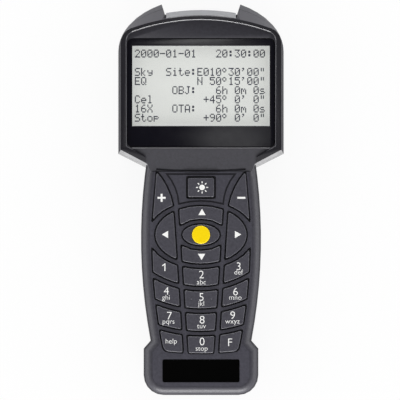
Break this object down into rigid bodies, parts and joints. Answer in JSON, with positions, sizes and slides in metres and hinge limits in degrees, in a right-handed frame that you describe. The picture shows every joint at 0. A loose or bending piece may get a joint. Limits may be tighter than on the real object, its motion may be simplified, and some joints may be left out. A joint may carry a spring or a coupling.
{
  "type": "telescope hand controller",
  "caption": "Handheld telescope controller: wide display head with a rim, slim grip with sprung number and arrow keys, lamp strip on top, cable socket in the base.",
  "frame": {"origin": "bottom centre of the handset lying on its back", "axes": "+X across it to the right, +Y along it towards the head, +Z out of its face"},
  "size_m": [0.0806, 0.1903, 0.032],
  "materials": {
    "abs_dark_grey": "fine satin moulding",
    "key_grey": "satin, with printed legends",
    "black_nylon": "matt",
    "gloss_black_acrylic": "polished",
    "zinc_steel": "plated",
    "board_laminate": "solder mask",
    "white_diffuser": "diffusing",
    "display_glass": "pale grey polarising film",
    "yellow_enamel": "satin yellow",
    "silicone": "matt",
    "frosted_lens": "frosted",
    "red_led": "clear red",
    "ribbon_film": "film",
    "gold_plate": "plated"
  },
  "bodies": {
    "handset": {"backlight_panel": "white_diffuser", "board_screw_1": "zinc_steel", "board_screw_2": "zinc_steel", "board_screw_3": "zinc_steel", "board_screw_4": "zinc_steel", "cable_socket": "black_nylon", "case_screw_1": "zinc_steel", "case_screw_2": "zinc_steel", "case_screw_3": "zinc_steel", "case_screw_4": "zinc_steel", "case_screw_5": "zinc_steel", "case_screw_6": "zinc_steel", "cell_holder": "black_nylon", "coin_cell": "zinc_steel", "crystal": "zinc_steel", "display_ribbon": "ribbon_film", "display_window": "gloss_black_acrylic", "front_cover": "abs_dark_grey", "keypad_mat": "silicone", "lamp_led_left": "red_led", "lamp_led_right": "red_led", "lamp_lens": "frosted_lens", "lcd_board": "board_laminate", "lcd_frame": "zinc_steel", "lcd_glass": "display_glass", "lcd_screw_1": "zinc_steel", "lcd_screw_2": "zinc_steel", "lcd_screw_3": "zinc_steel", "lcd_screw_4": "zinc_steel", "main_board": "board_laminate", "memory_chip": "black_nylon", "name_plate": "gloss_black_acrylic", "processor": "black_nylon", "rear_cover": "abs_dark_grey", "socket_contacts": "gold_plate", "window_tape": "black_nylon"},
    "key_0": {"key_0": "key_grey"},
    "key_1": {"key_1": "key_grey"},
    "key_2": {"key_2": "key_grey"},
    "key_3": {"key_3": "key_grey"},
    "key_4": {"key_4": "key_grey"},
    "key_5": {"key_5": "key_grey"},
    "key_6": {"key_6": "key_grey"},
    "key_7": {"key_7": "key_grey"},
    "key_8": {"key_8": "key_grey"},
    "key_9": {"key_9": "key_grey"},
    "key_down": {"key_down": "key_grey"},
    "key_enter": {"key_enter": "key_grey", "enter_key_cap": "yellow_enamel"},
    "key_f": {"key_f": "key_grey"},
    "key_help": {"key_help": "key_grey"},
    "key_left": {"key_left": "key_grey"},
    "key_light": {"key_light": "key_grey"},
    "key_minus": {"key_minus": "key_grey"},
    "key_plus": {"key_plus": "key_grey"},
    "key_right": {"key_right": "key_grey"},
    "key_up": {"key_up": "key_grey"}
  },
  "joints": [
    {"name": "key_0_press", "type": "slide", "parent": "handset", "child": "key_0", "axis": [0, 0, -1], "range_m": [0, 0.0008], "stiffness_N_per_m": 400, "springref_m": -0.0015, "deforming": ["keypad_mat"]},
    {"name": "key_1_press", "type": "slide", "parent": "handset", "child": "key_1", "axis": [0, 0, -1], "range_m": [0, 0.0008], "stiffness_N_per_m": 400, "springref_m": -0.0015, "deforming": ["keypad_mat"]},
    {"name": "key_2_press", "type": "slide", "parent": "handset", "child": "key_2", "axis": [0, 0, -1], "range_m": [0, 0.0008], "stiffness_N_per_m": 400, "springref_m": -0.0015, "deforming": ["keypad_mat"]},
    {"name": "key_3_press", "type": "slide", "parent": "handset", "child": "key_3", "axis": [0, 0, -1], "range_m": [0, 0.0008], "stiffness_N_per_m": 400, "springref_m": -0.0015, "deforming": ["keypad_mat"]},
    {"name": "key_4_press", "type": "slide", "parent": "handset", "child": "key_4", "axis": [0, 0, -1], "range_m": [0, 0.0008], "stiffness_N_per_m": 400, "springref_m": -0.0015, "deforming": ["keypad_mat"]},
    {"name": "key_5_press", "type": "slide", "parent": "handset", "child": "key_5", "axis": [0, 0, -1], "range_m": [0, 0.0008], "stiffness_N_per_m": 400, "springref_m": -0.0015, "deforming": ["keypad_mat"]},
    {"name": "key_6_press", "type": "slide", "parent": "handset", "child": "key_6", "axis": [0, 0, -1], "range_m": [0, 0.0008], "stiffness_N_per_m": 400, "springref_m": -0.0015, "deforming": ["keypad_mat"]},
    {"name": "key_7_press", "type": "slide", "parent": "handset", "child": "key_7", "axis": [0, 0, -1], "range_m": [0, 0.0008], "stiffness_N_per_m": 400, "springref_m": -0.0015, "deforming": ["keypad_mat"]},
    {"name": "key_8_press", "type": "slide", "parent": "handset", "child": "key_8", "axis": [0, 0, -1], "range_m": [0, 0.0008], "stiffness_N_per_m": 400, "springref_m": -0.0015, "deforming": ["keypad_mat"]},
    {"name": "key_9_press", "type": "slide", "parent": "handset", "child": "key_9", "axis": [0, 0, -1], "range_m": [0, 0.0008], "stiffness_N_per_m": 400, "springref_m": -0.0015, "deforming": ["keypad_mat"]},
    {"name": "key_down_press", "type": "slide", "parent": "handset", "child": "key_down", "axis": [0, 0, -1], "range_m": [0, 0.0008], "stiffness_N_per_m": 400, "springref_m": -0.0015, "deforming": ["keypad_mat"]},
    {"name": "key_enter_press", "type": "slide", "parent": "handset", "child": "key_enter", "axis": [0, 0, -1], "range_m": [0, 0.0008], "stiffness_N_per_m": 400, "springref_m": -0.0015, "deforming": ["keypad_mat"]},
    {"name": "key_f_press", "type": "slide", "parent": "handset", "child": "key_f", "axis": [0, 0, -1], "range_m": [0, 0.0008], "stiffness_N_per_m": 400, "springref_m": -0.0015, "deforming": ["keypad_mat"]},
    {"name": "key_help_press", "type": "slide", "parent": "handset", "child": "key_help", "axis": [0, 0, -1], "range_m": [0, 0.0008], "stiffness_N_per_m": 400, "springref_m": -0.0015, "deforming": ["keypad_mat"]},
    {"name": "key_left_press", "type": "slide", "parent": "handset", "child": "key_left", "axis": [0, 0, -1], "range_m": [0, 0.0008], "stiffness_N_per_m": 400, "springref_m": -0.0015, "deforming": ["keypad_mat"]},
    {"name": "key_light_press", "type": "slide", "parent": "handset", "child": "key_light", "axis": [0, 0, -1], "range_m": [0, 0.0008], "stiffness_N_per_m": 400, "springref_m": -0.0015, "deforming": ["keypad_mat"]},
    {"name": "key_minus_press", "type": "slide", "parent": "handset", "child": "key_minus", "axis": [0, 0, -1], "range_m": [0, 0.0008], "stiffness_N_per_m": 400, "springref_m": -0.0015, "deforming": ["keypad_mat"]},
    {"name": "key_plus_press", "type": "slide", "parent": "handset", "child": "key_plus", "axis": [0, 0, -1], "range_m": [0, 0.0008], "stiffness_N_per_m": 400, "springref_m": -0.0015, "deforming": ["keypad_mat"]},
    {"name": "key_right_press", "type": "slide", "parent": "handset", "child": "key_right", "axis": [0, 0, -1], "range_m": [0, 0.0008], "stiffness_N_per_m": 400, "springref_m": -0.0015, "deforming": ["keypad_mat"]},
    {"name": "key_up_press", "type": "slide", "parent": "handset", "child": "key_up", "axis": [0, 0, -1], "range_m": [0, 0.0008], "stiffness_N_per_m": 400, "springref_m": -0.0015, "deforming": ["keypad_mat"]}
  ]
}
